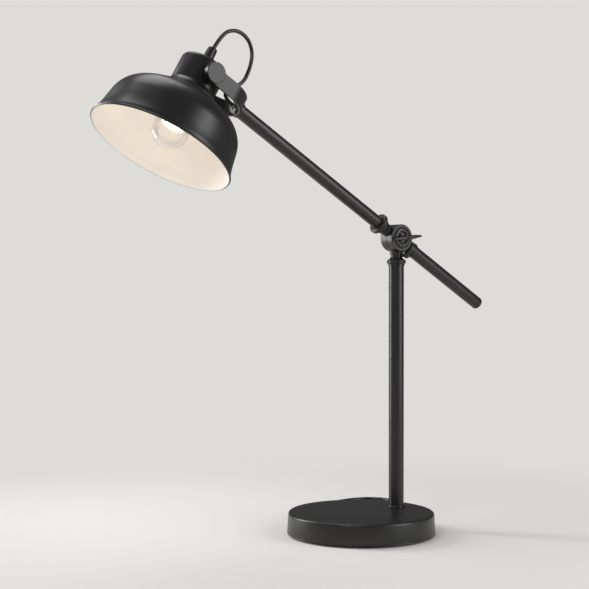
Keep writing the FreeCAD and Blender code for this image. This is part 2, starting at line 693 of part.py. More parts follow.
cup_inner = NECK_CUP_RADIUS - NECK_CUP_WALL
cup_roof = NECK_CUP_TOP - NECK_CUP_WALL
cup = turned(rounded([
    (NIPPLE_RADIUS, NECK_CUP_TOP),
    (NECK_CUP_RADIUS, NECK_CUP_TOP),
    (NECK_CUP_RADIUS, -NECK_CUP_FOOT),
], [NECK_CUP_EDGE]) + rounded([
    (cup_inner, -NECK_CUP_FOOT),
    (cup_inner, cup_roof),
    (NIPPLE_RADIUS, cup_roof),
], [NECK_CUP_EDGE - NECK_CUP_WALL]))
BOSS_RADIUS = 2 * PIVOT_PIN_RADIUS
boss_depth = cup_inner - PIVOT_PIN_GRIP
for side in (-1, 1):
    boss = aimed(rod(BOSS_RADIUS, boss_depth, cup_inner + 1), Vector(0, side, 0))
    cup = cup.fuse(boss.common(rod(cup_inner + NECK_CUP_WALL / 2, -NECK_CUP_FOOT, cup_roof)))
pin_way = Part.makeCylinder(PIVOT_PIN_RADIUS, 4 * YOKE_OUTER, Vector(0, -2 * YOKE_OUTER, 0), Vector(0, 1, 0))
cup = cup.cut(pin_way).removeSplitter()
export("neck_cup", on_shade(cup))

crown_fall = (SHADE_SHOULDER_DROP - NECK_CUP_FOOT) / (SHADE_SHOULDER_RADIUS - NECK_CUP_RADIUS)
ring_width = NECK_RING_RADIUS - NECK_CUP_RADIUS
ring_foot = -NECK_CUP_FOOT - crown_fall * ring_width
ring_edge_top = ring_foot + NECK_RING_LIP
ring_start = -NECK_CUP_FOOT + NECK_RING_HEIGHT
flare_at = (NECK_CUP_RADIUS + ring_width * 0.4, ring_start + (ring_edge_top - ring_start) * 0.53)
export("neck_ring", on_shade(turned([
    (NECK_CUP_RADIUS, ring_start),
    (flare_at, (NECK_RING_RADIUS, ring_edge_top)),
    (NECK_RING_RADIUS, ring_foot),
    (NECK_CUP_RADIUS, -NECK_CUP_FOOT),
])))

spacers = []
for side, name in ((-1, "pivot_screw_near"), (1, "pivot_screw_far")):
    out = Vector(0, side, 0)
    spacer = tube(SPACER_RADIUS, PIVOT_PIN_RADIUS, NECK_CUP_RADIUS / 2, YOKE_INNER)
    spacer = aimed(spacer, out).cut(rod(NECK_CUP_RADIUS, -NECK_CUP_FOOT, NECK_CUP_TOP))
    spacers.append(spacer)
    screw = rod(PIVOT_PIN_RADIUS, boss_depth, YOKE_OUTER)
    disc = turned(rounded([
        (0, YOKE_OUTER + PIVOT_DISC_THICKNESS),
        (PIVOT_DISC_RADIUS, YOKE_OUTER + PIVOT_DISC_THICKNESS),
        (PIVOT_DISC_RADIUS, YOKE_OUTER),
    ], [0.8]) + [(0, YOKE_OUTER)])
    export(name, on_shade(aimed(screw.fuse(disc).removeSplitter(), out)))
export("pivot_spacers", on_shade(Part.makeCompound(spacers)))

flange_radius = HOLDER_RADIUS + 4.0
flange_high = -NECK_CUP_FOOT + 2.0
HOLDER_FLOOR = -BULB_CENTRE - BULB_RADIUS + BULB_LENGTH + 3.0
chamber_floor = HOLDER_FLOOR + 3.0
holder = rod(HOLDER_RADIUS, -HOLDER_MOUTH, HOLDER_TOP)
holder = holder.fuse(rod(flange_radius, -NECK_CUP_FOOT, flange_high))
holder = holder.cut(rod(HOLDER_BORE, -HOLDER_MOUTH - 1, HOLDER_FLOOR))
holder = holder.cut(rod(HOLDER_RADIUS - 2.5, chamber_floor, HOLDER_TOP + 1))
export("holder_body", on_shade(holder.removeSplitter()))
contact_foot = HOLDER_FLOOR - 3.0
export("centre_contact", on_shade(rod(BOLT_RADIUS, contact_foot, HOLDER_FLOOR)))
cap_top = HOLDER_TOP + 7.0
cap_wall = 1.5
holder_cap = turned(rounded([
    (NIPPLE_RADIUS, cap_top),
    (HOLDER_CAP_RADIUS, cap_top),
    (HOLDER_CAP_RADIUS, HOLDER_TOP),
], [4.0]) + rounded([
    (HOLDER_CAP_RADIUS - cap_wall, HOLDER_TOP),
    (HOLDER_CAP_RADIUS - cap_wall, cap_top - cap_wall),
    (NIPPLE_RADIUS, cap_top - cap_wall),
], [2.5]))
export("holder_cap", on_shade(holder_cap))
holder_nipple = tube(NIPPLE_RADIUS, NIPPLE_BORE, HOLDER_TOP + 2, NECK_CUP_TOP + 6)
export("holder_nipple", on_shade(holder_nipple))
holder_nut = hexagon(NIPPLE_NUT_FLATS, cap_top, cup_roof).cut(rod(NIPPLE_RADIUS, 0, NECK_CUP_TOP))
export("holder_nut", on_shade(holder_nut))
ring_top = -NECK_CUP_FOOT - SHADE_WALL
shade_ring = turned(rounded([
    (HOLDER_RADIUS, ring_top),
    (SHADE_RING_RADIUS, ring_top),
    (SHADE_RING_RADIUS, ring_top - SHADE_RING_HEIGHT),
    (HOLDER_RADIUS, ring_top - SHADE_RING_HEIGHT),
], [0.6, 1.5]))
export("shade_ring", on_shade(shade_ring))

gland = turned(rounded([
    (NIPPLE_BORE, NECK_CUP_TOP + GLAND_HEIGHT),
    (GLAND_RADIUS, NECK_CUP_TOP + GLAND_HEIGHT),
    (GLAND_RADIUS, NECK_CUP_TOP),
], [1.6]) + [
    (NIPPLE_RADIUS, NECK_CUP_TOP),
    (NIPPLE_RADIUS, NECK_CUP_TOP + 6),
    (NIPPLE_BORE, NECK_CUP_TOP + 6),
])
export("head_gland", on_shade(gland))


# ---- Bulb ----

BULB_FOOT = -BULB_CENTRE - BULB_RADIUS
bulb_top = BULB_FOOT + BULB_LENGTH
cap_foot = bulb_top - BULB_CAP_LENGTH
throat = BULB_CAP_RADIUS - 0.6


def bulb_side(radius, throat_radius):
    """Pole of the globe to its throat."""
    meet = math.radians(55)
    edge = (radius * math.cos(meet), -BULB_CENTRE + radius * math.sin(meet))
    side = (radius, -BULB_CENTRE)
    lower = (radius * math.sqrt(0.5), -BULB_CENTRE - radius * math.sqrt(0.5))
    upper = (radius * math.cos(meet / 2), -BULB_CENTRE + radius * math.sin(meet / 2))
    return [
        (0, -BULB_CENTRE - radius),
        (lower, side),
        (upper, edge),
        (throat_radius, cap_foot),
        (throat_radius, cap_foot + 3),
    ]


bulb_inside = backwards(bulb_side(BULB_RADIUS - BULB_GLASS, throat - BULB_GLASS))
bulb_glass = turned(bulb_side(BULB_RADIUS, throat) + bulb_inside)
export("bulb_glass", on_shade(bulb_glass))
bulb_cap = turned([
    (throat, cap_foot),
    (BULB_CAP_RADIUS, cap_foot),
    (BULB_CAP_RADIUS, bulb_top - 5),
    (BOLT_RADIUS, bulb_top),
    (0, bulb_top),
    (0, bulb_top - 1.5),
    (throat, bulb_top - 7),
])
export("bulb_cap", on_shade(bulb_cap))
stem_top = cap_foot + 3
stem_foot = -BULB_CENTRE + 4
stem = turned([
    (0, stem_foot),
    (1.2, stem_foot),
    (2.2, stem_foot + 6),
    (throat - BULB_GLASS, stem_top - 4),
    (throat - BULB_GLASS, stem_top),
    (0, stem_top),
])
export("bulb_stem", on_shade(stem))
filament_level = stem_foot - FILAMENT_WIRE
filament = Part.makeTorus(FILAMENT_RADIUS, FILAMENT_WIRE, Vector(0, 0, filament_level), UP)
support_start = Vector(-FILAMENT_RADIUS, 0, filament_level)
support = Part.makeCylinder(FILAMENT_WIRE, 2 * FILAMENT_RADIUS, support_start, Vector(1, 0, 0))
filament = filament.fuse(support).removeSplitter()
export("bulb_filament", on_shade(filament))


# ---- Cords ----

def flex_along(points, radius, name):
    """A round flex through the points: straight runs joined by tangent arcs. Prints its radii."""
    edges = []
    last = points[0]
    turns = []
    for before, at, after in zip(points, points[1:], points[2:]):
        into = (before - at).normalize()
        away = (after - at).normalize()
        half_turn = (math.pi - into.getAngle(away)) / 2
        shorter = min(before.distanceToPoint(at), at.distanceToPoint(after))
        reach = 0.45 * shorter
        bend = reach / math.tan(half_turn)
        dip = bend / math.cos(half_turn) - bend
        first = at + into * reach
        end = at + away * reach
        edges.append(Part.makeLine(last, first))
        edges.append(Part.Arc(first, at + (into + away).normalize() * dip, end).toShape())
        turns.append(round(bend, 1))
        last = end
    edges.append(Part.makeLine(last, points[-1]))
    path = Part.Wire(edges)
    solid = flex_on(path, points[1] - points[0], radius)
    ideal = math.pi * radius ** 2 * path.Length
    share = round(solid.Volume / ideal, 4)
    print(name, "bend radii", turns, "length", round(path.Length, 1), "volume share", share)
    return solid


def flex_on(path, start_aim, radius):
    """The round solid along a smooth path."""
    start = path.OrderedVertexes[0].Point
    section = Part.Wire(Part.makeCircle(radius, start, start_aim))
    return path.makePipeShell([section], True, False)


def biarc(start, start_aim, end, end_aim):
    """Two arcs that leave and arrive along the given directions."""
    chord = end - start
    aims = start_aim + end_aim
    spread = 2 * (1 - start_aim.dot(end_aim))
    along = chord.dot(aims)
    reach = (-along + math.sqrt(along ** 2 + spread * chord.dot(chord))) / spread
    corner = start + start_aim * reach
    other = end - end_aim * reach
    meet = (corner + other) / 2
    return [arc_from(start, corner, meet), arc_from(meet, other, end)]


def arc_from(start, corner, end):
    """The arc that touches both legs of a corner, from one leg's end to the other's."""
    middle = (start + end) / 2
    half_angle = (start - corner).getAngle(end - corner) / 2
    radius = start.distanceToPoint(corner) * math.tan(half_angle)
    dip = radius / math.sin(half_angle) - radius
    return Part.Arc(start, corner + (middle - corner).normalize() * dip, end).toShape()


def coil_point(turns):
    """A point of the coil's centre line, so many turns from its start."""
    reversal = COIL_TURNS_IN + 0.25
    drawn_in = reversal - abs(turns - reversal)
    ease = min(max((turns - COIL_TURNS_IN) / 0.5, 0), 1)
    radius = COIL_OUTER - COIL_PITCH * drawn_in
    angle = math.radians(COIL_START_ANGLE + 360 * turns)
    height = CORD_REST + COIL_LAYER * ease * ease * (3 - 2 * ease)
    return COIL_CENTRE + Vector(radius * math.cos(angle), radius * math.sin(angle), height)


def coil_aim(turns):
    step = 1e-4
    return (coil_point(turns + step) - coil_point(turns - step)).normalize()


def least_gap(points, skip, diameter):
    """The least distance between the skins of two stretches of a flex that aren't neighbours."""
    least = math.inf
    for i, one in enumerate(points):
        for other in points[i + skip:]:
            least = min(least, one.distanceToPoint(other))
    return least - diameter


coil_turns = COIL_TURNS_IN + 0.5 + COIL_TURNS_OUT
quarters = round(coil_turns * 8)
stops = [coil_turns * i / quarters for i in range(quarters + 1)]
lead = 2 * CORD_RADIUS
coil_start = coil_point(0) - coil_aim(0) * lead
coil_end = coil_point(coil_turns) + coil_aim(coil_turns) * lead
coil_edges = [Part.makeLine(coil_start, coil_point(0))]
for low, high in zip(stops, stops[1:]):
    coil_edges += biarc(coil_point(low), coil_aim(low), coil_point(high), coil_aim(high))
coil_edges.append(Part.makeLine(coil_point(coil_turns), coil_end))
coil_path = Part.Wire(coil_edges)
coil = flex_on(coil_path, coil_aim(0), CORD_RADIUS)
coil_share = coil.Volume / (math.pi * CORD_RADIUS ** 2 * coil_path.Length)
samples = [coil_point(coil_turns * i / 560) for i in range(561)]
print("coil length", round(coil_path.Length, 1), "volume share", round(coil_share, 4))
print("coil's least gap to itself", round(least_gap(samples, 40, 2 * CORD_RADIUS), 2))
export("mains_cord_coil", coil)

relief = turned(rounded([
    (CORD_RADIUS, RELIEF_LENGTH),
    (RELIEF_TIP_RADIUS, RELIEF_LENGTH),
    (RELIEF_ROOT_RADIUS, 0),
    (relief_hole, 0),
], [0.6, 0.6]) + [
    (relief_hole, -RELIEF_SEAT),
    (RELIEF_HEAD_RADIUS, -RELIEF_SEAT),
    (RELIEF_HEAD_RADIUS, -RELIEF_SEAT - RELIEF_HEAD),
    (CORD_RADIUS, -RELIEF_SEAT - RELIEF_HEAD),
])
export("cord_relief", exit_frame(relief))

exit_aim = Rotation(UP, CORD_EXIT_ANGLE).multVec(Vector(1, 0, 0))
relief_root = exit_aim * (BASE_DIAMETER / 2 + BASE_FLARE) + UP * CORD_EXIT_HEIGHT
inner_end = relief_root - exit_aim * (RELIEF_SEAT + RELIEF_HEAD)
first_bend = relief_root + exit_aim * (RELIEF_LENGTH + 22)
lead_points = [
    inner_end,
    first_bend,
    Vector(143, 86, 4.8),
    Vector(169, 119, CORD_REST),
    Vector(181, 163, CORD_REST),
    Vector(158, 190, CORD_REST),
    Vector(107, 191, CORD_REST),
    coil_start - coil_aim(0) * 28,
    coil_start,
]
export("mains_cord", flex_along(lead_points, CORD_RADIUS, "mains cord"))

tail_bend = coil_end + coil_aim(coil_turns) * 15
plug_entry = Vector(23.5, 137.5, PLUG_HEIGHT / 2)
last_bend = Vector(43.5, 156.4, PLUG_HEIGHT / 2)
tail_points = [coil_end, tail_bend, Vector(70.6, 161.4, coil_end.z), last_bend, plug_entry]
export("mains_cord_tail", flex_along(tail_points, CORD_RADIUS, "cord tail"))

plug_aim = plug_entry - last_bend
plug_frame = Placement(plug_entry, Rotation(UP, math.degrees(math.atan2(plug_aim.y, plug_aim.x))))


def plug_level(width, at):
    """One closed section of the plug's body, square to its length."""
    half_width, half_height = width / 2, PLUG_HEIGHT / 2
    edge = half_height * 0.75
    flat = half_height - edge
    side = half_width - edge
    dip = edge * (1 - math.sqrt(0.5))
    outline = [
        (-side, -half_height),
        (side, -half_height),
        ((half_width - dip, -half_height + dip), (half_width, -flat)),
        (half_width, flat),
        ((half_width - dip, half_height - dip), (side, half_height)),
        (-side, half_height),
        ((-half_width + dip, half_height - dip), (-half_width, flat)),
        (-half_width, -flat),
        ((-half_width + dip, -half_height + dip), (-side, -half_height)),
    ]
    section = wire_of(outline)
    section.Placement = Placement(Vector(at, 0, 0), Rotation(Vector(0, 0, 1), 90).multiply(
        Rotation(Vector(1, 0, 0), 90)))
    return section


plug_body = Part.makeLoft([
    plug_level(PLUG_NOSE_WIDTH * 0.6, 0),
    plug_level(PLUG_WIDTH * 0.9, PLUG_LENGTH * 0.35),
    plug_level(PLUG_WIDTH, PLUG_LENGTH * 0.62),
    plug_level(PLUG_NOSE_WIDTH, PLUG_LENGTH),
], True, True)
plug_body.Placement = plug_frame
export("plug_body", plug_body)
pins = []
for side in (-1, 1):
    pin_root = Vector(PLUG_LENGTH, side * PIN_SPACING / 2, 0)
    pin = aimed(rod(PIN_RADIUS, 0, PIN_LENGTH), Vector(1, 0, 0), pin_root)
    pin.Placement = plug_frame.multiply(pin.Placement)
    pins.append(pin)
export("plug_pins", Part.makeCompound(pins))


def by_pivot(x, z):
    """A point of the arm's plane, measured from the shade's pivot."""
    return PIVOT + Vector(x, 0, z)


def by_arm(reach, rise):
    """A point of the arm's plane: so far from the pivot along the arm, so far above its axis."""
    return HUB + ARM_TURN.multVec(Vector(-ARM_LENGTH + reach, 0, rise))


NECK_AIM = SHADE_TURN.multVec(UP)
loop_points = [
    PIVOT + NECK_AIM * (NECK_CUP_TOP + 8),
    PIVOT + NECK_AIM * (NECK_CUP_TOP + GLAND_HEIGHT + 21),
    by_pivot(50.6, 59.8),
    by_pivot(67.6, 52.4),
    by_pivot(74.8, 35.2),
    by_pivot(70.6, 16.4),
    by_pivot(60.6, -2.4),
    by_arm(36.8, 10.4),
    by_arm(42.8, 0.0),
    by_arm(ARM_LENGTH - NIPPLE_MOUTH + 4, 0.0),
]
export("shade_cable", flex_along(loop_points, LOOP_RADIUS, "shade cable"))
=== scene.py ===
"""A counterweight balance desk lamp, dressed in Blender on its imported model, in metres.

The frame is the model's own: the origin is the middle of the base's underside, +Z is up and the
head points to -X.
"""

import json
import math

import bpy
from mathutils import Matrix, Vector


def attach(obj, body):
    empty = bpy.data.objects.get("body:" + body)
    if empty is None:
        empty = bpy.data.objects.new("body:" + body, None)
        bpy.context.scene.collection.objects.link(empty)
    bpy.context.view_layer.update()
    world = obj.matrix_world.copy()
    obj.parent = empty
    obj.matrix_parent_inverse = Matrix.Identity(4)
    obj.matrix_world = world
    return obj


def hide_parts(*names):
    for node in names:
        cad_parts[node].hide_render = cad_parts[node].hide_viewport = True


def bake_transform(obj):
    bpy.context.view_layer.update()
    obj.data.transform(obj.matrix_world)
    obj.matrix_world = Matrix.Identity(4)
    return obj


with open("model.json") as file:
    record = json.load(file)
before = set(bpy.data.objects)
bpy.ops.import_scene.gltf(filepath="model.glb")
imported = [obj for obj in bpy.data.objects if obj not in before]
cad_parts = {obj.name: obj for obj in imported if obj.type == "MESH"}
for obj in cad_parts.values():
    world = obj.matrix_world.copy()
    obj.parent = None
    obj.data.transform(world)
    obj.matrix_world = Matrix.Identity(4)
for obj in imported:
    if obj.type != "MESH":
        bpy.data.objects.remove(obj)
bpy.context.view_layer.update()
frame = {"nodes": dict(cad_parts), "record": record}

bl_info = {
    "name": "Balance Desk Lamp",
    "version": (1, 0, 0),
    "blender": (4, 5, 0),
    "location": "3D View > Sidebar > Lamp",
    "description": "Builds the looks of a counterweight balance desk lamp on its packed model",
    "category": "Object",
}

MM = 0.001
NODES = frame["nodes"]

# The lamp's own places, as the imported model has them
POLE_X = 57 * MM
HUB = Vector((POLE_X, 0, 367 * MM))
ARM_TURN = Matrix.Rotation(math.radians(30.8), 4, "Y")
ARM_LENGTH = 342 * MM
PIVOT = HUB + ARM_TURN @ Vector((-ARM_LENGTH, 0, 0))
SHADE_TURN = Matrix.Rotation(math.radians(30.5), 4, "Y")
ON_ARM = Matrix.Translation(HUB) @ ARM_TURN @ Matrix.Rotation(math.radians(-90), 4, "Y")
ON_SHADE = Matrix.Translation(PIVOT) @ SHADE_TURN
ON_POLE = Matrix.Translation((POLE_X, 0, 0))
AT_FRONT = Matrix.Translation(HUB) @ Matrix.Rotation(math.radians(90), 4, "X")
DISC_FACE = 11.3
BALL_STAND = 22.3
ON_HANDLE = (
    Matrix.Translation(HUB + Vector((0, -BALL_STAND * MM, 0)))
    @ Matrix.Rotation(math.radians(83.5), 4, "Y")
)
ON_LOCK = (
    Matrix.Translation((POLE_X, 0, 345 * MM))
    @ Matrix.Rotation(math.radians(-70), 4, "Z")
    @ Matrix.Rotation(math.radians(90), 4, "Y")
)
CORD_EXIT = math.radians(30)
BASE_FOOT_RADIUS = 91.5 * MM
CORD_EXIT_HEIGHT = 8.6 * MM
PLUG_AT = (
    Matrix.Translation((23.5 * MM, 137.5 * MM, 6.8 * MM))
    @ Matrix.Rotation(math.atan2(-18.9, -20.0), 4, "Z")
)
AT_EXIT = (
    Matrix.Rotation(CORD_EXIT, 4, "Z")
    @ Matrix.Translation((BASE_FOOT_RADIUS, 0, CORD_EXIT_HEIGHT))
    @ Matrix.Rotation(math.radians(90), 4, "Y")
)
CORD_REST = 2.8 * MM
COIL_CENTRE = Vector((89.8, 109.1, 0)) * MM
COIL_OUTER = 41 * MM
COIL_PITCH = 5.9 * MM
COIL_START = math.radians(143.9)
COIL_TURNS_IN = 3.125
COIL_TURNS = 6.75
COIL_STOPS = 108
LEAD_DIAMETER = 5.4 * MM
HEAD_FLEX_DIAMETER = 4.6 * MM

# Profiles, in millimetres: radii from each piece's own axis, and heights along it
BASE_TOP_RADIUS = 90.0
BASE_TOP = 28.0
BASE_HEM_TOP = 4.0
POLE_RADIUS = 9.5
SHADE_RADIUS = 85.0
SHADE_DROP = 96.0
SHADE_WALL = 1.0
SHADE_HOLE = 14.3
SKIRT_RADIUS = 81.3
SKIRT_DROP = 84.5
SKIRT_ROUND = 100.0
SHOULDER_RADIUS = 75.0
SHOULDER_DROP = 46.8
SHOULDER_ROUND = 36.0
CROWN_RADIUS = 27.0
CROWN_DROP = 20.3
RIM_BEAD_CENTRE = 84.5
RIM_BEAD_RADIUS = 1.3
INSIDE_FROM_RIM = 90.0
NECK_TOP = 18.0
NECK_FOOT = -15.8
GLAND_RADIUS = 6.5
GLAND_TOP = 40.0
PLUG_LENGTH = 36.0
PIN_OFFSET = 9.3
PLUG_RIBS = 5
RIB_START = 9.0
RIB_STEP = 2.6
RELIEF_RIBS = 6
RELIEF_RIB_STEP = 3.4

# The photo's camera, as it was fitted, and where the paper runs out into the background, in metres
CAMERA_PLACE = (-1.0144, -1.2474, 0.3111)
CAMERA_LOOK = (0.58956, 0.80767, -0.009288)
SENSOR = 36
PHOTO_SIDE = 589  # pixels
FOCAL_LENGTH = 1300  # pixels
LEAN_SHIFT = 1.2  # pixels, as the photo's pole leans and the model's doesn't
FADE_START = 0.2
FADE_END = 0.75
BULB_LIGHT_DROP = 72 * MM


# ---- Shaping ----

def pick_none():
    """Leaves edit mode and deselects every object, as a new piece starts from nothing selected."""
    if bpy.context.object and bpy.context.object.mode != "OBJECT":
        bpy.ops.object.mode_set(mode="OBJECT")
    bpy.ops.object.select_all(action="DESELECT")


def pick(piece):
    pick_none()
    piece.select_set(True)
    bpy.context.view_layer.objects.active = piece


def rounded(points, radii, steps=6):
    """An outline's points, each inner corner of it rounded to its radius in millimetres."""
    outline = [Vector(points[0])]
    for before, at, after, radius in zip(points, points[1:], points[2:], radii):
        corner = Vector(at)
        into = (Vector(before) - corner).normalized()
        away = (Vector(after) - corner).normalized()
        half = into.angle(away) / 2
        centre = corner + (into + away).normalized() * (radius / math.sin(half))
        first = corner + into * (radius / math.tan(half)) - centre
        last = corner + away * (radius / math.tan(half)) - centre
        turn = first.angle_signed(last)
        for i in range(steps + 1):
            outline.append(centre + Matrix.Rotation(-turn * i / steps, 2) @ first)
    outline.append(Vector(points[-1]))
    return outline


def bow(centre, radius, start, end, steps=8):
    """Points of an arc round a centre, from one angle to the other in degrees."""
    turns = (math.radians(start + (end - start) * i / steps) for i in range(steps + 1))
    return [Vector((centre[0] + radius * math.cos(t), centre[1] + radius * math.sin(t))) for t in turns]


def lathe(name, outline, closed=True, sides=96):
    """A piece turned round Z. The outline is drawn by extruding a point through (radius, height)
    stations in millimetres, and then spun."""
    pick_none()
    bpy.ops.mesh.primitive_plane_add(size=2 * MM, location=(0, 0, 0))
    piece = bpy.context.object
    piece.name = name
    bpy.ops.object.mode_set(mode="EDIT")
    bpy.ops.mesh.select_all(action="SELECT")
    bpy.ops.mesh.merge(type="CENTER")
    stations = [Vector((radius * MM, 0, height * MM)) for radius, height in outline]
    bpy.ops.transform.translate(value=stations[0])
    for last, station in zip(stations, stations[1:]):
        bpy.ops.mesh.extrude_vertices_move(TRANSFORM_OT_translate={"value": station - last})
    bpy.ops.mesh.select_all(action="SELECT")
    if closed:
        bpy.ops.mesh.remove_doubles(threshold=0.001 * MM)
    bpy.ops.mesh.spin(steps=sides, angle=math.tau, center=(0, 0, 0), axis=(0, 0, 1))
    bpy.ops.mesh.select_all(action="SELECT")
    bpy.ops.mesh.remove_doubles(threshold=0.002 * MM)
    bpy.ops.mesh.normals_make_consistent(inside=False)
    bpy.ops.object.mode_set(mode="OBJECT")
    return piece


def settle(piece, place, body, materials, replaced=(), sharp=35):
    """Puts a finished piece in its place, with that place in its mesh, and lets it ride on a body."""
    piece.matrix_world = place
    pick(piece)
    bpy.ops.object.transform_apply(location=True, rotation=True, scale=True)
    bpy.ops.object.shade_smooth_by_angle(angle=math.radians(sharp))
    for material in materials:
        piece.data.materials.append(material)
    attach(piece, body)
    if replaced:
        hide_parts(*replaced)


# ---- Materials ----

def linear(colour):
    """A hex colour as the screen shows it, turned to linear values."""
    channels = (int(colour[i : i + 2], 16) / 255 for i in (1, 3, 5))
    return (*(c / 12.92 if c <= 0.04045 else ((c + 0.055) / 1.055) ** 2.4 for c in channels), 1)


def grain(size):
    """The scale of a pattern whose features are so many millimetres across."""
    return 1 / (size * MM)


def add(owner, kind, inputs, **settings):
    """Adds a node to a material or world; an input that is another node's output is linked."""
    tree = owner.node_tree
    node = tree.nodes.new(kind)
    for key, value in settings.items():
        setattr(node, key, value)
    for key, value in inputs.items():
        if isinstance(value, bpy.types.NodeSocket):
            tree.links.new(value, node.inputs[key])
        else:
            node.inputs[key].default_value = value
    return node


def new_material(name):
    """A node material with nothing but its Principled shader and its place on the object."""
    material = bpy.data.materials.new(name)
    material.use_nodes = True
    shader = material.node_tree.nodes["Principled BSDF"]
    place = add(material, "ShaderNodeTexCoord", {}).outputs["Object"]
    return material, shader, place


def join(material, output, shader, socket):
    material.node_tree.links.new(output, shader.inputs[socket])


def satin_powder_coat(colour):
    # Polyester powder, baked on steel and zinc castings: satin, with a faint orange peel.
    material, shader, place = new_material("satin_powder_coat")
    peel = add(material, "ShaderNodeTexNoise", {"Vector": place, "Scale": grain(2), "Detail": 2.0})
    cloud = add(material, "ShaderNodeTexNoise", {"Vector": place, "Scale": grain(30), "Detail": 3.0})
    tint = add(material, "ShaderNodeMix", {
        "Factor": cloud.outputs["Fac"], "A": linear(colour), "B": linear("#232222"),
    }, data_type="RGBA")
    sheen = add(material, "ShaderNodeMapRange", {
        "Value": cloud.outputs["Fac"], "To Min": 0.30, "To Max": 0.37,
    })
    bump = add(material, "ShaderNodeBump", {
        "Height": peel.outputs["Fac"], "Strength": 0.03, "Distance": 0.05 * MM,
    })
    shader.inputs["IOR"].default_value = 1.5
    join(material, tint.outputs[2], shader, "Base Color")
    join(material, sheen.outputs["Result"], shader, "Roughness")
    join(material, bump.outputs["Normal"], shader, "Normal")
    return material


def cream_enamel(colour):
    # Stove enamel sprayed inside the shade: cream white, with a soft gloss.
    material, shader, place = new_material("cream_enamel")
    cloud = add(material, "ShaderNodeTexNoise", {"Vector": place, "Scale": grain(25), "Detail": 2.0})
    tint = add(material, "ShaderNodeMix", {
        "Factor": cloud.outputs["Fac"], "A": linear(colour), "B": linear("#f2ebe2"),
    }, data_type="RGBA")
    peel = add(material, "ShaderNodeTexNoise", {"Vector": place, "Scale": grain(1.2), "Detail": 1.0})
    bump = add(material, "ShaderNodeBump", {
        "Height": peel.outputs["Fac"], "Strength": 0.08, "Distance": 0.05 * MM,
    })
    shader.inputs["Roughness"].default_value = 0.42
    join(material, tint.outputs[2], shader, "Base Color")
    join(material, bump.outputs["Normal"], shader, "Normal")
    return material


def pvc_sheath(colour):
    # Extruded PVC over the flex: glossy, with faint ripples.
    material, shader, place = new_material("pvc_sheath")
    ripple = add(material, "ShaderNodeTexNoise", {"Vector": place, "Scale": grain(6), "Detail": 1.0})
    gloss = add(material, "ShaderNodeMapRange", {
        "Value": ripple.outputs["Fac"], "To Min": 0.22, "To Max": 0.34,
    })
    bump = add(material, "ShaderNodeBump", {
        "Height": ripple.outputs["Fac"], "Strength": 0.1, "Distance": 0.2 * MM,
    })
    shader.inputs["Base Color"].default_value = linear(colour)
    join(material, gloss.outputs["Result"], shader, "Roughness")
    join(material, bump.outputs["Normal"], shader, "Normal")
    return material


def moulded_thermoset(name, colour, roughness):
    # Compression-moulded phenolic or urea resin: hard, even, slightly glossy, with a fine flow grain.
    material, shader, place = new_material(name)
    flow = add(material, "ShaderNodeTexNoise", {"Vector": place, "Scale": grain(1.5), "Detail": 2.0})
    bump = add(material, "ShaderNodeBump", {
        "Height": flow.outputs["Fac"], "Strength": 0.08, "Distance": 0.1 * MM,
    })
    shader.inputs["Base Color"].default_value = linear(colour)
    shader.inputs["Roughness"].default_value = roughness
    join(material, bump.outputs["Normal"], shader, "Normal")
    return material


def plated_metal(name, colour, smooth, rough):
    # Zinc, nickel or brass straight from the lathe or the plating bath: clouded, finely scratched.
    material, shader, place = new_material(name)
    cloud = add(material, "ShaderNodeTexNoise", {"Vector": place, "Scale": grain(4), "Detail": 4.0})
    gloss = add(material, "ShaderNodeMapRange", {
        "Value": cloud.outputs["Fac"], "To Min": smooth, "To Max": rough,
    })
    bump = add(material, "ShaderNodeBump", {
        "Height": cloud.outputs["Fac"], "Strength": 0.05, "Distance": 0.1 * MM,
    })
    shader.inputs["Base Color"].default_value = linear(colour)
    shader.inputs["Metallic"].default_value = 1.0
    join(material, gloss.outputs["Result"], shader, "Roughness")
    join(material, bump.outputs["Normal"], shader, "Normal")
    return material


def foamed_rubber(colour):
    # Closed-cell pad under the base: matt, with pores of under a millimetre.
    material, shader, place = new_material("foamed_rubber")
    pores = add(material, "ShaderNodeTexVoronoi", {"Vector": place, "Scale": grain(0.8)})
    bump = add(material, "ShaderNodeBump", {
        "Height": pores.outputs["Distance"], "Strength": 0.4, "Distance": 0.2 * MM,
    })
    shader.inputs["Base Color"].default_value = linear(colour)
    shader.inputs["Roughness"].default_value = 0.9
    join(material, bump.outputs["Normal"], shader, "Normal")
    return material


def sand_cast_iron(colour):
    # The weight as it leaves the sand: dull grey and grainy.
    material, shader, place = new_material("sand_cast_iron")
    sand = add(material, "ShaderNodeTexNoise", {"Vector": place, "Scale": grain(0.8), "Detail": 4.0})
    bump = add(material, "ShaderNodeBump", {
        "Height": sand.outputs["Fac"], "Strength": 0.5, "Distance": 0.2 * MM,
    })
    shader.inputs["Base Color"].default_value = linear(colour)
    shader.inputs["Metallic"].default_value = 0.6
    shader.inputs["Roughness"].default_value = 0.7
    join(material, bump.outputs["Normal"], shader, "Normal")
    return material


def blown_glass(name, cover):
    # Soda-lime glass blown thin: clear, smooth, and with a faint waviness that bends highlights.
    material, shader, place = new_material(name)
    wave = add(material, "ShaderNodeTexNoise", {"Vector": place, "Scale": grain(12), "Detail": 1.0})
    bump = add(material, "ShaderNodeBump", {
        "Height": wave.outputs["Fac"], "Strength": 0.05, "Distance": 0.2 * MM,
    })
    shader.inputs["Base Color"].default_value = linear("#ffffff")
    shader.inputs["Roughness"].default_value = 0.02
    shader.inputs["IOR"].default_value = 1.5
    shader.inputs["Transmission Weight"].default_value = 1.0
    shader.inputs["Alpha"].default_value = cover
    join(material, bump.outputs["Normal"], shader, "Normal")
    return material


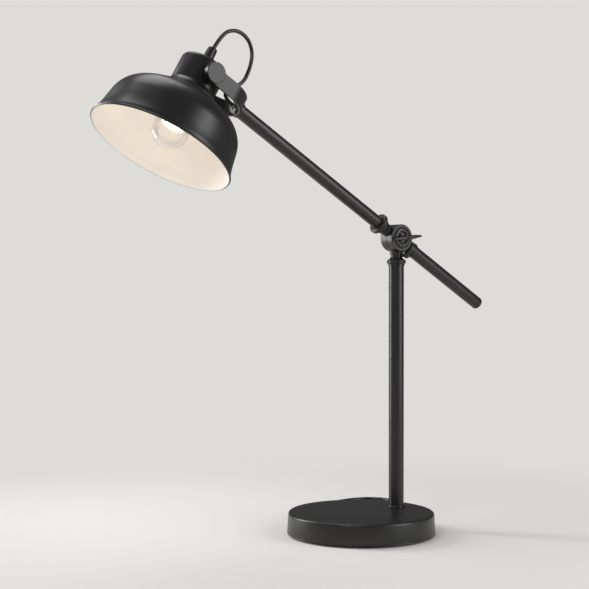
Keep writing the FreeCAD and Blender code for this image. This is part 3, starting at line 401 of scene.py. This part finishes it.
def glowing_filament(colour):
    # Coiled tungsten at work: it shines a warm white, brighter on some turns than on others.
    material, shader, place = new_material("glowing_filament")
    coils = add(material, "ShaderNodeTexNoise", {"Vector": place, "Scale": grain(0.8), "Detail": 0.0})
    glow = add(material, "ShaderNodeMix", {
        "Factor": coils.outputs["Fac"], "A": linear(colour), "B": linear("#ffd9a0"),
    }, data_type="RGBA")
    shader.inputs["Base Color"].default_value = linear(colour)
    shader.inputs["Emission Strength"].default_value = 4.0
    join(material, glow.outputs[2], shader, "Emission Color")
    return material


def studio_paper(colour):
    # Seamless background paper: matt and even, and it runs out into the plain background.
    material, shader, place = new_material("studio_paper")
    fibre = add(material, "ShaderNodeTexNoise", {"Vector": place, "Scale": grain(3), "Detail": 2.0})
    bump = add(material, "ShaderNodeBump", {
        "Height": fibre.outputs["Fac"], "Strength": 0.03, "Distance": 0.1 * MM,
    })
    shader.inputs["Base Color"].default_value = linear(colour)
    shader.inputs["Roughness"].default_value = 0.9
    shader.inputs["Specular IOR Level"].default_value = 0.1
    join(material, bump.outputs["Normal"], shader, "Normal")
    reach = add(material, "ShaderNodeVectorMath", {0: place}, operation="LENGTH")
    away = add(material, "ShaderNodeMapRange", {
        "Value": reach.outputs["Value"], "From Min": FADE_START, "From Max": FADE_END,
    }, interpolation_type="SMOOTHSTEP")
    path = add(material, "ShaderNodeLightPath", {})
    seen = add(material, "ShaderNodeMath", {
        0: away.outputs["Result"], 1: path.outputs["Is Camera Ray"],
    }, operation="MULTIPLY")
    plain = add(material, "ShaderNodeEmission", {"Color": linear(colour)})
    both = add(material, "ShaderNodeMixShader", {
        0: seen.outputs["Value"], 1: shader.outputs["BSDF"], 2: plain.outputs["Emission"],
    })
    material.node_tree.links.new(both.outputs["Shader"],
                                 material.node_tree.nodes["Material Output"].inputs["Surface"])
    return material


def material_of(name):
    """The material of that name, which the finishes operator has made."""
    return bpy.data.materials[name]


# ---- What a user can change ----

class LampFinish(bpy.types.PropertyGroup):
    """The lamp's colours."""

    paint: bpy.props.StringProperty(
        name="Paint", description="Powder coat on all the metalwork, as a hex colour", default="#191818")
    enamel: bpy.props.StringProperty(
        name="Inside of shade", description="Enamel inside the shade, as a hex colour",
        default="#f5f0e9")
    sheath: bpy.props.StringProperty(
        name="Flex", description="Sheath of the cords, as a hex colour", default="#121212")


class LampCords(bpy.types.PropertyGroup):
    """The sizes of the cords."""

    lead_diameter: bpy.props.FloatProperty(
        name="Mains lead", description="Diameter of the mains lead", default=LEAD_DIAMETER,
        unit="LENGTH")
    head_diameter: bpy.props.FloatProperty(
        name="Head flex", description="Diameter of the flex that loops at the head",
        default=HEAD_FLEX_DIAMETER, unit="LENGTH")


class LampStudio(bpy.types.PropertyGroup):
    """The stage that the lamp stands on."""

    paper: bpy.props.StringProperty(
        name="Background", description="Floor and background, as a hex colour", default="#dedcd9")
    sky: bpy.props.FloatProperty(
        name="All round", description="Strength of the white light from all round",
        default=0.34, min=0.0)
    mirrored: bpy.props.FloatProperty(
        name="Room in the shine", description="Strength of the room that shiny pieces mirror",
        default=0.12, min=0.0)
    key_power: bpy.props.FloatProperty(
        name="Right light", description="Power of the large light at the right, in watts",
        default=13.0, min=0.0)
    strip_power: bpy.props.FloatProperty(
        name="Strip light", description="Power of the strip light at the left, in watts",
        default=10.0, min=0.0)
    front_power: bpy.props.FloatProperty(
        name="Front light", description="Power of the light at the front, in watts",
        default=5.0, min=0.0)
    top_power: bpy.props.FloatProperty(
        name="Top light", description="Power of the light overhead, in watts",
        default=6.0, min=0.0)
    bulb_power: bpy.props.FloatProperty(
        name="Bulb", description="Power of the lamp's own bulb, in watts",
        default=0.11, min=0.0)


# ---- Operators ----

class LAMP_OT_stage(bpy.types.Operator):
    """Lay the paper, hang the lights and set up the camera"""

    bl_idname = "lamp.stage"
    bl_label = "Studio"

    def softbox(self, name, place, aim, size, power, colour="#ffffff"):
        pick_none()
        bpy.ops.object.light_add(type="AREA", location=place)
        lamp = bpy.context.object
        lamp.name = name
        lamp.data.shape = "RECTANGLE"
        lamp.data.size, lamp.data.size_y = size
        lamp.data.energy = power
        lamp.data.color = linear(colour)[:3]
        lamp.rotation_euler = (Vector(aim) - Vector(place)).to_track_quat("-Z", "Y").to_euler()

    def execute(self, context):
        studio = context.scene.lamp_studio
        paper = studio_paper(studio.paper)

        pick_none()
        bpy.ops.mesh.primitive_circle_add(vertices=64, radius=30, fill_type="NGON", location=(0, 0, 0))
        floor = context.object
        floor.name = "studio_floor"
        floor.data.materials.append(paper)

        world = bpy.data.worlds.new("studio")
        context.scene.world = world
        world.use_nodes = True
        tree = world.node_tree
        light = tree.nodes["Background"]
        light.inputs["Color"].default_value = linear("#ffffff")
        light.inputs["Strength"].default_value = studio.sky
        path = add(world, "ShaderNodeLightPath", {})
        rays = add(world, "ShaderNodeMath", {
            0: path.outputs["Is Camera Ray"], 1: path.outputs["Is Transmission Ray"],
        }, operation="MAXIMUM")
        seen = add(world, "ShaderNodeBackground", {"Color": linear(studio.paper)})
        mirrored = add(world, "ShaderNodeBackground", {
            "Color": linear("#ffffff"), "Strength": studio.mirrored,
        })
        shine = add(world, "ShaderNodeMixShader", {
            0: path.outputs["Is Glossy Ray"], 1: light.outputs[0], 2: mirrored.outputs[0],
        })
        both = add(world, "ShaderNodeMixShader", {
            0: rays.outputs[0], 1: shine.outputs[0], 2: seen.outputs[0],
        })
        tree.links.new(both.outputs[0], tree.nodes["World Output"].inputs["Surface"])

        self.softbox("right_softbox", (0.75, -1.35, 0.75), (0, 0, 0.35), (0.8, 1.3), studio.key_power)
        self.softbox("left_strip", (-0.62, 0.87, 0.6), (0, 0, 0.45), (0.22, 1.1), studio.strip_power)
        self.softbox("front_softbox", (-1.35, -0.75, 1.0), (0, 0, 0.35), (0.5, 0.5), studio.front_power)
        self.softbox("top_softbox", (-0.15, 0.35, 1.5), (-0.05, 0, 0.3), (0.9, 0.7), studio.top_power)

        bpy.ops.object.light_add(type="POINT", location=ON_SHADE @ Vector((0, 0, -BULB_LIGHT_DROP)))
        glow = context.object
        glow.name = "bulb_glow"
        glow.data.energy = studio.bulb_power
        glow.data.shadow_soft_size = 9 * MM
        glow.data.color = linear("#fff8f0")[:3]
        glow.visible_camera = False
        glow.visible_transmission = False
        glow.visible_glossy = False

        bpy.ops.object.camera_add(location=CAMERA_PLACE)
        camera = context.object
        camera.rotation_euler = Vector(CAMERA_LOOK).to_track_quat("-Z", "Y").to_euler()
        camera.data.sensor_width = SENSOR
        camera.data.lens = SENSOR * FOCAL_LENGTH / PHOTO_SIDE
        camera.data.shift_x = LEAN_SHIFT / PHOTO_SIDE
        camera.data.clip_start = 0.05
        context.scene.camera = camera
        context.scene.view_settings.view_transform = "Standard"
        return {"FINISHED"}


class LAMP_OT_finishes(bpy.types.Operator):
    """Make the lamp's materials and give them to the model's own pieces"""

    bl_idname = "lamp.finishes"
    bl_label = "Finishes"

    def execute(self, context):
        finish = context.scene.lamp_finish
        made = {
            "black_paint": satin_powder_coat(finish.paint),
            "iron": sand_cast_iron("#4a4a48"),
            "plated_steel": plated_metal("zinc_plate", "#b9bab8", 0.25, 0.42),
            "brass": plated_metal("turned_brass", "#c9a255", 0.18, 0.34),
            "pad": foamed_rubber("#1a1a1a"),
            "flex": pvc_sheath(finish.sheath),
            "soft_black": moulded_thermoset("soft_pvc", "#141414", 0.5),
            "plug_black": moulded_thermoset("moulded_pvc", "#151515", 0.38),
            "fibre": moulded_thermoset("vulcanised_fibre", "#2b1a12", 0.75),
            "phenolic": moulded_thermoset("urea_resin", "#cfc8bb", 0.32),
            "glass": blown_glass("blown_glass", 0.3),
            "stem_glass": blown_glass("pressed_glass", 0.45),
            "lit_filament": glowing_filament("#fff1d0"),
        }
        cream_enamel(finish.enamel)
        slots = {part["node"]: part["material_slot"] for part in frame["record"]["subparts"]}
        for name, piece in NODES.items():
            piece.data.materials.clear()
            piece.data.materials.append(made[slots[name]])
        return {"FINISHED"}


def flex_curve(name, points, radius):
    """A round flex whose line is one NURBS spline with the points as its controls."""
    curve = bpy.data.curves.new(name, "CURVE")
    curve.dimensions = "3D"
    spline = curve.splines.new("NURBS")
    spline.points.add(len(points) - 1)
    for control, point in zip(spline.points, points):
        control.co = (*point, 1)
    spline.order_u = 3
    spline.use_endpoint_u = True
    spline.resolution_u = 6
    curve.bevel_depth = radius
    curve.bevel_resolution = 6
    curve.use_fill_caps = True
    piece = bpy.data.objects.new(name, curve)
    bpy.context.scene.collection.objects.link(piece)
    return piece


def coil_point(turns):
    """A point of the coil's centre line: inwards below, then outwards on top of itself."""
    reversal = COIL_TURNS_IN + 0.25
    drawn_in = reversal - abs(turns - reversal)
    ease = min(max((turns - COIL_TURNS_IN) / 0.5, 0), 1)
    radius = COIL_OUTER - COIL_PITCH * drawn_in
    angle = COIL_START + math.tau * turns
    height = CORD_REST + COIL_PITCH * ease * ease * (3 - 2 * ease)
    return COIL_CENTRE + Vector((radius * math.cos(angle), radius * math.sin(angle), height))


def coil_aim(turns):
    step = 1e-4
    return (coil_point(turns + step) - coil_point(turns - step)).normalized()


class LAMP_OT_mains_lead(bpy.types.Operator):
    """Lay the mains lead out of the base, into its coil behind it and on to the plug"""

    bl_idname = "lamp.mains_lead"
    bl_label = "Mains lead"

    def execute(self, context):
        out = Vector((math.cos(CORD_EXIT), math.sin(CORD_EXIT), 0))
        root = out * BASE_FOOT_RADIUS + Vector((0, 0, CORD_EXIT_HEIGHT))
        exit_point = root - out * 5.6 * MM
        coil_start = coil_point(0) - coil_aim(0) * LEAD_DIAMETER
        coil_end = coil_point(COIL_TURNS) + coil_aim(COIL_TURNS) * LEAD_DIAMETER
        laid = [Vector(p) * MM for p in (
            (143, 86, 4.8), (169, 119, 2.8), (181, 163, 2.8), (158, 190, 2.8), (107, 191, 2.8))]
        points = [exit_point, root + out * 48 * MM, *laid]
        points += [coil_start - coil_aim(0) * 28 * MM, coil_start]
        points += [coil_point(COIL_TURNS * i / COIL_STOPS) for i in range(COIL_STOPS + 1)]
        points += [coil_end, coil_end + coil_aim(COIL_TURNS) * 15 * MM]
        points += [
            Vector((70.6 * MM, 161.4 * MM, coil_end.z)),
            Vector((43.5, 156.4, 6.8)) * MM,
            Vector((23.5, 137.5, 6.8)) * MM,
        ]
        cord = flex_curve("mains_lead", points, context.scene.lamp_cords.lead_diameter / 2)
        cord.data.materials.append(material_of("pvc_sheath"))
        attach(cord, "base")
        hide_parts("mains_cord", "mains_cord_coil", "mains_cord_tail")
        return {"FINISHED"}


class LAMP_OT_head_flex(bpy.types.Operator):
    """Loop the flex from the end of the arm over into the top of the head"""

    bl_idname = "lamp.head_flex"
    bl_label = "Flex at the head"

    def execute(self, context):
        neck = SHADE_TURN @ Vector((0, 0, 1))

        def by_pivot(x, z):
            return PIVOT + Vector((x, 0, z)) * MM

        def by_arm(reach, rise):
            return PIVOT + ARM_TURN @ (Vector((reach, 0, rise)) * MM)

        points = [
            PIVOT + neck * 26 * MM,
            PIVOT + neck * 61 * MM,
            by_pivot(50.6, 59.8),
            by_pivot(67.6, 52.4),
            by_pivot(74.8, 35.2),
            by_pivot(70.6, 16.4),
            by_pivot(60.6, -2.4),
            by_arm(36.8, 10.4),
            by_arm(42.8, 0.0),
            by_arm(56.67, 0.0),
        ]
        flex = flex_curve("head_flex", points, context.scene.lamp_cords.head_diameter / 2)
        pick(flex)
        bpy.ops.object.convert(target="MESH")
        flex = context.object
        bpy.ops.object.shade_smooth_by_angle(angle=math.radians(40))
        flex.data.materials.append(material_of("pvc_sheath"))
        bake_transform(flex)
        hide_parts("shade_cable")
        return {"FINISHED"}


class LAMP_OT_shade(bpy.types.Operator):
    """Spin the shade, black outside and cream inside, with its rolled rim"""

    bl_idname = "lamp.shade"
    bl_label = "Shade"

    def wall(self, inset):
        return rounded([
            (SHADE_RADIUS - inset, -SHADE_DROP),
            (SKIRT_RADIUS - inset, -SKIRT_DROP),
            (SHOULDER_RADIUS - inset, -SHOULDER_DROP - inset),
            (CROWN_RADIUS, -CROWN_DROP - inset),
        ], [SKIRT_ROUND, SHOULDER_ROUND], steps=12)

    def execute(self, context):
        outside = self.wall(0)
        inside = self.wall(SHADE_WALL)
        bead = [
            Vector((
                RIM_BEAD_CENTRE + RIM_BEAD_RADIUS * math.cos(turn),
                RIM_BEAD_RADIUS * math.sin(turn) - SHADE_DROP,
            ))
            for turn in (math.radians(115 - 24 * i) for i in range(13))
        ]
        hole = [Vector((SHADE_HOLE, -CROWN_DROP)), Vector((SHADE_HOLE, -CROWN_DROP - SHADE_WALL))]
        outline = [*outside[1:], *hole]
        outline += [*reversed(inside[1:]), *reversed(bead), outside[1]]
        shade = lathe("shade_dome", outline, sides=160)
        settle(shade, ON_SHADE, "shade", [material_of("satin_powder_coat"), material_of("cream_enamel")],
               ["shade"])
        axis = SHADE_TURN @ Vector((0, 0, 1))
        for face in shade.data.polygons:
            offset = face.center - PIVOT
            along = offset.dot(axis)
            radial = (offset - axis * along).normalized()
            faces_down = face.normal.dot(axis) < -0.3 and along > -INSIDE_FROM_RIM * MM
            if faces_down or face.normal.dot(radial) < -0.05:
                face.material_index = 1
        return {"FINISHED"}


class LAMP_OT_plug(bpy.types.Operator):
    """Mould the finger ribs on the plug, its cord collar and the sleeves round its pins"""

    bl_idname = "lamp.plug"
    bl_label = "Plug"

    def execute(self, context):
        black = [material_of("moulded_pvc")]
        end = bow((0, 6.6), 0.7, 0, 90, steps=4)
        rib = [Vector((point.x, -point.y)) for point in reversed(end)] + end
        for number in range(PLUG_RIBS):
            bar = lathe("plug_rib", rib, sides=16)
            reach = (RIB_START + RIB_STEP * number) * MM
            place = Matrix.Translation((reach, 0, 6.7 * MM)) @ Matrix.Rotation(math.radians(90), 4, "X")
            settle(bar, PLUG_AT @ place, "base", black)
        forward = Matrix.Rotation(math.radians(90), 4, "Y")
        collar = rounded([(2.7, -3.0), (4.3, -2.6), (5.4, 1.5), (2.7, 1.5)], [0.9, 0.8], steps=4)
        piece = lathe("plug_collar", collar, sides=40)
        settle(piece, PLUG_AT @ forward, "base", black)
        for side in (-PIN_OFFSET, PIN_OFFSET):
            sleeve = rounded([(2.0, -0.5), (2.3, -0.5), (2.2, 9.6), (2.0, 9.9)], [0.05, 0.15], steps=3)
            piece = lathe("pin_sleeve", sleeve, sides=32)
            place = Matrix.Translation((PLUG_LENGTH * MM, side * MM, 0)) @ forward
            settle(piece, PLUG_AT @ place, "base", black)
        return {"FINISHED"}


class LAMP_OT_neck(bpy.types.Operator):
    """Spin the head's neck, which flares out on the crown, and the gland on top of it"""

    bl_idname = "lamp.neck"
    bl_label = "Head's neck"

    def execute(self, context):
        paint = material_of("satin_powder_coat")
        flare = [(27.9, -17.3), (29.1, -19.1), (30.6, -20.8), (32.4, -22.4), (34.4, -23.8)]
        side = [(5.0, NECK_TOP), (CROWN_RADIUS, NECK_TOP), (CROWN_RADIUS, NECK_FOOT)]
        outline = rounded(side, [5.0], steps=10)
        outline += [Vector(p) for p in flare]
        outline += [Vector(p) for p in ((36.2, -24.75), (36.5, -25.0), (36.5, -25.5), (25.5, -19.5))]
        outline += rounded([(25.5, -19.4), (25.5, 16.5), (5.0, 16.5)], [3.5], steps=8)[1:]
        cup = lathe("head_neck", outline, sides=144)
        settle(cup, ON_SHADE, "shade", [paint], ["neck_cup", "neck_ring"], sharp=28)

        barrel = [(0, GLAND_TOP), (5.6, GLAND_TOP), (6.3, 24.5), (GLAND_RADIUS, 22.4)]
        foot = [Vector((GLAND_RADIUS, NECK_TOP)), Vector((0, NECK_TOP))]
        gland = lathe("gland_cap", [*rounded(barrel, [2.2, 3.0], steps=6), *foot], sides=64)
        settle(gland, ON_SHADE, "shade", [material_of("moulded_pvc")], ["head_gland"])
        return {"FINISHED"}


class LAMP_OT_base(bpy.types.Operator):
    """Spin the base's cover, with a rolled hem, and the rings at the foot and top of the pole"""

    bl_idname = "lamp.base"
    bl_label = "Base"

    def execute(self, context):
        paint = material_of("satin_powder_coat")
        hem = bow((90.7, 2.8), 0.8, 40, -220, steps=10)
        cover = [(0, BASE_TOP), (BASE_TOP_RADIUS, BASE_TOP), (91.4, BASE_HEM_TOP)]
        cover = rounded(cover, [3.0], steps=8)
        inner = rounded([(88.9, BASE_HEM_TOP), (88.2, 26.4), (0, 26.4)], [1.6], steps=5)
        piece = lathe("base_cover", [*cover, *hem, *inner], sides=192)
        settle(piece, Matrix.Identity(4), "base", [paint], ["base_shell"])

        bead = [(POLE_RADIUS, 332.0), (10.3, 332.0), (10.3, 334.4), (POLE_RADIUS, 334.4)]
        piece = lathe("pole_top_bead", rounded(bead, [0.3, 0.5], steps=5), sides=72)
        settle(piece, ON_POLE, "base", [paint])

        ring = [(POLE_RADIUS, BASE_TOP), (11.5, BASE_TOP), (11.5, 30.4), (POLE_RADIUS, 30.4)]
        piece = lathe("foot_ring", rounded(ring, [0.25, 1.4], steps=6), sides=72)
        settle(piece, ON_POLE, "base", [paint], ["pole_foot_ring"])
        return {"FINISHED"}


class LAMP_OT_clamp(bpy.types.Operator):
    """Turn the clamp and its seat, the lock screw, and the beads on the neck and the front socket"""

    bl_idname = "lamp.clamp"
    bl_label = "Clamp and lock screw"

    def execute(self, context):
        paint = [material_of("satin_powder_coat")]
        seat = [(7.0, 0), (13.6, 0), (13.5, 0.5), (13.0, 1.1), (12.1, 1.7), (11.0, 2.1), (9.8, 2.3)]
        seat += [(8.6, 2.25), (7.7, 1.9), (7.2, 1.3), (7.0, 0.6)]
        seat = [Vector((radius, DISC_FACE + rise)) for radius, rise in seat]
        piece = lathe("clamp_seat", seat, sides=96)
        settle(piece, AT_FRONT, "knuckle", paint, ["clamp_seat_ring"])

        bolt = [Vector(p) for p in ((0, -9.0), (3.0, -9.0), (3.0, DISC_FACE), (5.0, DISC_FACE))]
        shoulder = [(5.0, 0), (5.0, 2.5), (3.0, 2.5), (3.0, 7.5)]
        bolt += rounded([(radius, DISC_FACE + rise) for radius, rise in shoulder], [0.5, 0.8])[1:]
        bolt += bow((0, BALL_STAND), 4.2, -44, 90, steps=16)
        piece = lathe("clamp_ball", bolt, sides=64)
        settle(piece, AT_FRONT, "clamp", paint, ["clamp_bolt"])

        wing = [(4.0, 2.55), (5.2, 2.5), (7.5, 2.62), (10.5, 2.45), (14.5, 2.05), (18.5, 1.6)]
        wing += [(21.5, 1.25)]
        outer = [Vector((radius, reach)) for reach, radius in wing]
        outer += bow((0, 21.9), 1.1, 20, 90, steps=5)
        lower = [Vector((point.x, -point.y)) for point in reversed(outer)]
        piece = lathe("clamp_wings", [*lower, *outer], sides=40)
        settle(piece, ON_HANDLE, "clamp", paint, ["clamp_handle"])

        band = [Vector((7.6, 336.0)), Vector((10.6, 336.0))]
        band += bow((10.2, 338.2), 1.6, -75, 80, steps=10) + [Vector((9.3, 340.4)), Vector((7.6, 342.4))]
        piece = lathe("neck_band", band, sides=72)
        settle(piece, ON_POLE, "knuckle", paint)

        bead = [Vector((10.6, 31.0))] + bow((11.7, 32.3), 1.6, -145, 50, steps=10)
        bead += bow((11.6, 34.4), 1.7, -40, 85, steps=10) + [Vector((9.2, 36.1)), Vector((8.02, 35.9))]
        piece = lathe("socket_beads", [*bead, Vector((8.02, 33.5))], sides=96)
        settle(piece, ON_ARM, "arm", paint)

        screw = [Vector((0, 4.3)), Vector((2.0, 4.3)), Vector((2.0, 10.9)), Vector((2.4, 11.4))]
        screw += bow((0, 14.8), 3.8, -58, 90, steps=16)
        piece = lathe("lock_screw", screw, sides=48)
        settle(piece, ON_LOCK, "lock_screw", paint, ["swivel_lock_screw"])
        return {"FINISHED"}


class LAMP_OT_relief(bpy.types.Operator):
    """Spin the ribbed sleeve where the mains lead leaves the base"""

    bl_idname = "lamp.relief"
    bl_label = "Strain relief"

    def execute(self, context):
        outline = [Vector((2.7, -5.6)), Vector((5.0, -5.6)), Vector((5.0, -2.6)), Vector((3.9, -2.6)),
                   Vector((3.9, 0)), Vector((4.9, 0.0)), Vector((4.9, 2.2))]
        for rib in range(RELIEF_RIBS):
            foot = RELIEF_RIB_STEP + RELIEF_RIB_STEP * rib
            radius = 4.8 - 0.05 * foot
            outline += rounded([
                (radius - 1.0, foot - 0.4), (radius, foot),
                (radius - 0.06, foot + 1.9), (radius - 1.1, foot + 2.2),
            ], [0.4, 0.4], steps=3)
        outline += rounded([(2.9, 23.6), (3.5, 23.8), (3.4, 26.0), (2.7, 26.0)], [0.3, 0.5], steps=3)
        piece = lathe("lead_sleeve", outline, sides=48)
        settle(piece, AT_EXIT, "base", [material_of("soft_pvc")], ["cord_relief"])
        return {"FINISHED"}


class LAMP_PT_panel(bpy.types.Panel):
    """The lamp's pieces, in the order that they are made"""

    bl_idname = "LAMP_PT_panel"
    bl_label = "Balance Desk Lamp"
    bl_space_type = "VIEW_3D"
    bl_region_type = "UI"
    bl_category = "Lamp"

    def draw(self, context):
        for group in (context.scene.lamp_finish, context.scene.lamp_cords, context.scene.lamp_studio):
            box = self.layout.box()
            for name in group.__annotations__:
                box.prop(group, name)
        for operator in OPERATORS:
            self.layout.operator(operator.bl_idname)


OPERATORS = (
    LAMP_OT_stage, LAMP_OT_finishes, LAMP_OT_base, LAMP_OT_relief, LAMP_OT_mains_lead, LAMP_OT_plug,
    LAMP_OT_clamp, LAMP_OT_shade, LAMP_OT_neck, LAMP_OT_head_flex,
)
CLASSES = (LampFinish, LampCords, LampStudio, *OPERATORS, LAMP_PT_panel)


def register():
    for made in CLASSES:
        bpy.utils.register_class(made)
    bpy.types.Scene.lamp_finish = bpy.props.PointerProperty(type=LampFinish)
    bpy.types.Scene.lamp_cords = bpy.props.PointerProperty(type=LampCords)
    bpy.types.Scene.lamp_studio = bpy.props.PointerProperty(type=LampStudio)


def unregister():
    del bpy.types.Scene.lamp_studio
    del bpy.types.Scene.lamp_cords
    del bpy.types.Scene.lamp_finish
    for made in reversed(CLASSES):
        bpy.utils.unregister_class(made)


def main():
    register()
    bpy.ops.lamp.stage()
    bpy.ops.lamp.finishes()
    bpy.ops.lamp.base()
    bpy.ops.lamp.relief()
    bpy.ops.lamp.mains_lead()
    bpy.ops.lamp.plug()
    bpy.ops.lamp.clamp()
    bpy.ops.lamp.shade()
    bpy.ops.lamp.neck()
    bpy.ops.lamp.head_flex()


if __name__ == "__main__":
    main()
